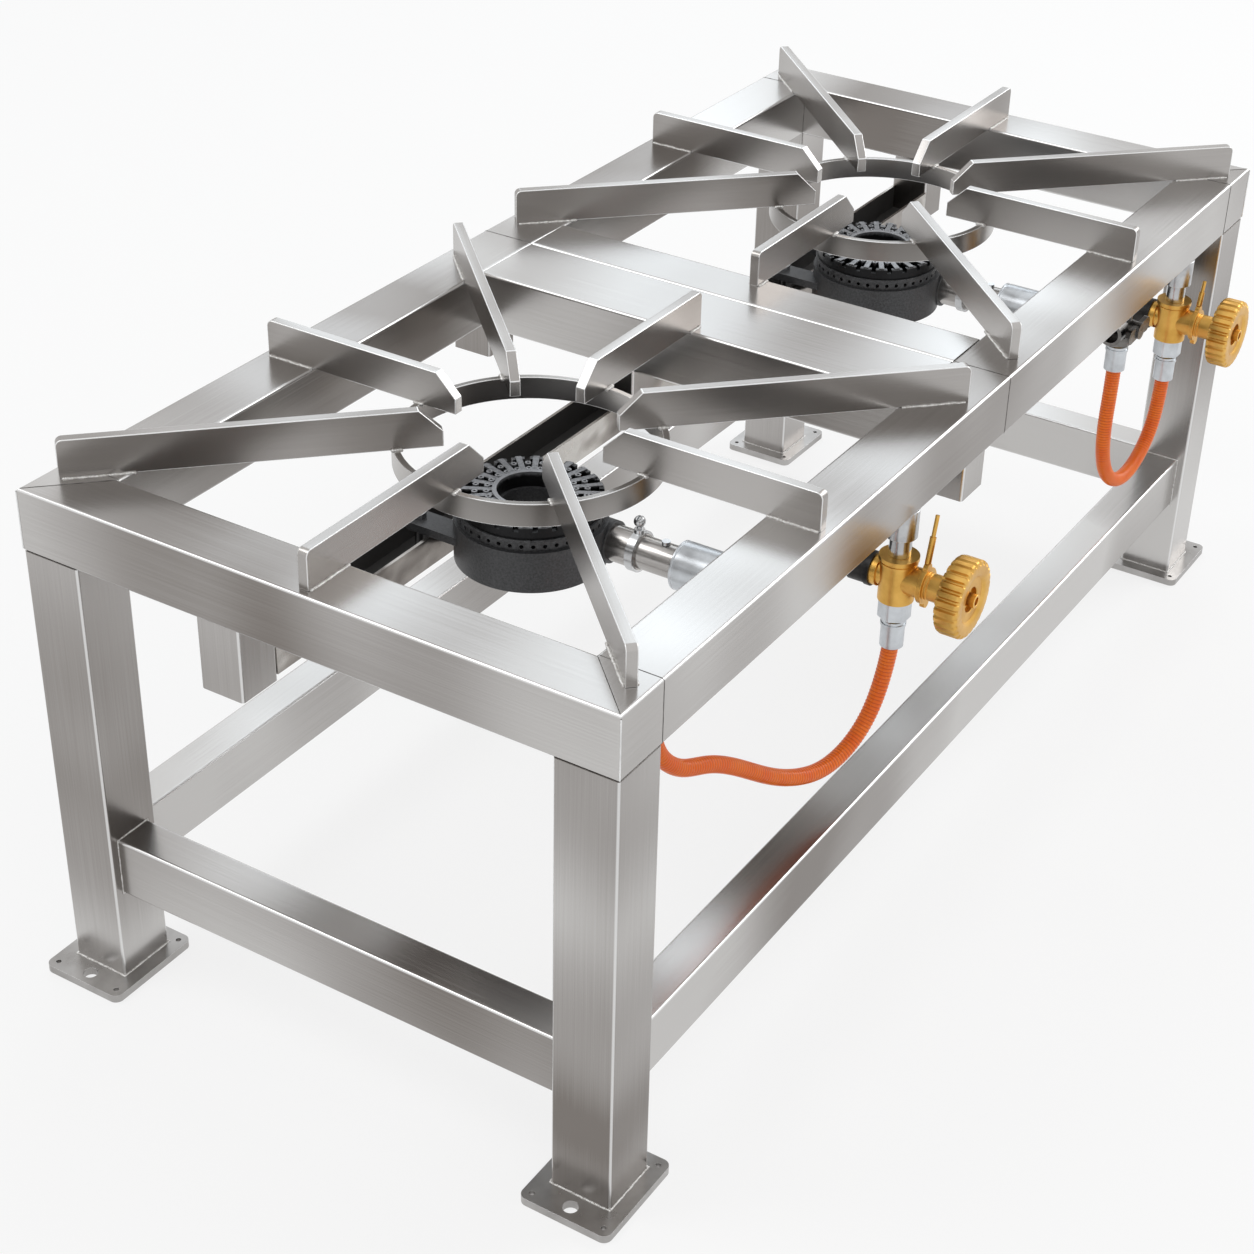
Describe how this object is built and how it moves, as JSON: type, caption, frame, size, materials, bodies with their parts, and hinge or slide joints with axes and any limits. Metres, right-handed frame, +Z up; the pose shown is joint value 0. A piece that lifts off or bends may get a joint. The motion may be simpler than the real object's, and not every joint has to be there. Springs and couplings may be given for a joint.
{
  "type": "biogas stove",
  "caption": "Low floor-standing stove: a welded square tube stand carries star grates over pan rings, open ring burners, fluted valves and ribbed gas hoses.",
  "frame": {"origin": "on the floor, at the centre of the rectangle of the four floor anchor holes", "axes": "+X along the stove from the near burner to the far burner, -Y to the front with the hand wheels, +Z up"},
  "size_m": [1.376, 0.6793, 0.546],
  "materials": {
    "stand_steel": "brushed",
    "ring_steel": "brushed",
    "bar_steel": "brushed",
    "plate_steel": "satin",
    "channel_steel": "satin",
    "bowl_iron": "matt cast",
    "port_iron": "matt cast",
    "cap_iron": "satin cast",
    "tube_steel": "polished",
    "plated_steel": "polished",
    "zinc_plate": "satin",
    "pipe_iron": "satin",
    "valve_brass": "satin",
    "wheel_brass": "satin",
    "hose_rubber": "ribbed",
    "cock_metal": "satin"
  },
  "bodies": {
    "stand": {"near_end_rail": "stand_steel", "far_end_rail": "stand_steel", "corner_returns": "stand_steel", "front_rail_near": "stand_steel", "front_rail_far": "stand_steel", "back_rail_near": "stand_steel", "back_rail_far": "stand_steel", "wide_cross_beam": "stand_steel", "narrow_cross_beam": "stand_steel", "front_legs": "stand_steel", "back_legs": "stand_steel", "foot_plates": "plate_steel", "end_stretchers": "stand_steel", "front_stretcher": "stand_steel", "back_stretcher": "stand_steel", "burner_channel": "channel_steel", "channel_posts": "stand_steel", "centre_stubs": "stand_steel", "near_pan_ring": "ring_steel", "far_pan_ring": "ring_steel", "near_grate_bars": "bar_steel", "far_grate_bars": "bar_steel", "near_burner_bowl": "bowl_iron", "far_burner_bowl": "bowl_iron", "near_port_ring": "port_iron", "far_port_ring": "port_iron", "near_mixing_tube": "tube_steel", "far_mixing_tube": "tube_steel", "tube_clamps": "plated_steel", "tube_screws": "plated_steel", "feed_pipes": "pipe_iron", "gas_jets": "valve_brass", "burner_bolts": "plated_steel", "near_valve_body": "valve_brass", "far_valve_body": "valve_brass", "valve_bonnets": "valve_brass", "valve_sockets": "plated_steel", "lock_pins": "valve_brass", "hose_nuts": "zinc_plate", "hose_tails": "valve_brass", "hose_ferrules": "zinc_plate", "near_gas_hose": "hose_rubber", "far_gas_hose": "hose_rubber", "cock_bracket": "stand_steel", "cock_bodies": "cock_metal"},
    "near_wheel": {"near_valve_spindle": "valve_brass", "near_hand_wheel": "wheel_brass", "near_wheel_nut": "valve_brass"},
    "far_wheel": {"far_valve_spindle": "valve_brass", "far_hand_wheel": "wheel_brass", "far_wheel_nut": "valve_brass"},
    "near_plug": {"near_valve_plug": "valve_brass"},
    "far_plug": {"far_valve_plug": "valve_brass"},
    "near_shutter": {"near_air_shutter": "zinc_plate"},
    "far_shutter": {"far_air_shutter": "zinc_plate"},
    "near_cap": {"near_burner_cap": "cap_iron"},
    "far_cap": {"far_burner_cap": "cap_iron"},
    "near_wing": {"near_cock_wing": "cock_metal"},
    "far_wing": {"far_cock_wing": "cock_metal"}
  },
  "joints": [
    {"name": "near_wheel_turn", "type": "hinge", "parent": "stand", "child": "near_wheel", "pos_m": [-0.165, -0.361, 0.378], "axis": [0, -1, 0], "range_deg": [0, 900]},
    {"name": "near_plug_lift", "type": "slide", "parent": "stand", "child": "near_plug", "axis": [0, -1, 0], "range_m": [0, 0.0052]},
    {"name": "far_wheel_turn", "type": "hinge", "parent": "stand", "child": "far_wheel", "pos_m": [0.51, -0.361, 0.378], "axis": [0, -1, 0], "range_deg": [0, 900]},
    {"name": "far_plug_lift", "type": "slide", "parent": "stand", "child": "far_plug", "axis": [0, -1, 0], "range_m": [0, 0.0052]},
    {"name": "near_shutter_slide", "type": "slide", "parent": "stand", "child": "near_shutter", "axis": [0, -1, 0], "range_m": [0, 0.011]},
    {"name": "far_shutter_slide", "type": "slide", "parent": "stand", "child": "far_shutter", "axis": [0, -1, 0], "range_m": [0, 0.011]},
    {"name": "near_cap_lift", "type": "slide", "parent": "stand", "child": "near_cap", "axis": [0, 0, 1], "range_m": [0, 0.12]},
    {"name": "far_cap_lift", "type": "slide", "parent": "stand", "child": "far_cap", "axis": [0, 0, 1], "range_m": [0, 0.12]},
    {"name": "near_wing_turn", "type": "hinge", "parent": "stand", "child": "near_wing", "pos_m": [-0.475, -0.235, 0.415], "axis": [0, 1, 0], "range_deg": [0, 90]},
    {"name": "far_wing_turn", "type": "hinge", "parent": "stand", "child": "far_wing", "pos_m": [0.37, -0.295, 0.42], "axis": [0, 1, 0], "range_deg": [0, 90]}
  ],
  "couplings": [
    {"joint": "near_plug_lift", "follows": "near_wheel_turn", "m_per_rad": 0.00031831},
    {"joint": "far_plug_lift", "follows": "far_wheel_turn", "m_per_rad": 0.00031831}
  ]
}
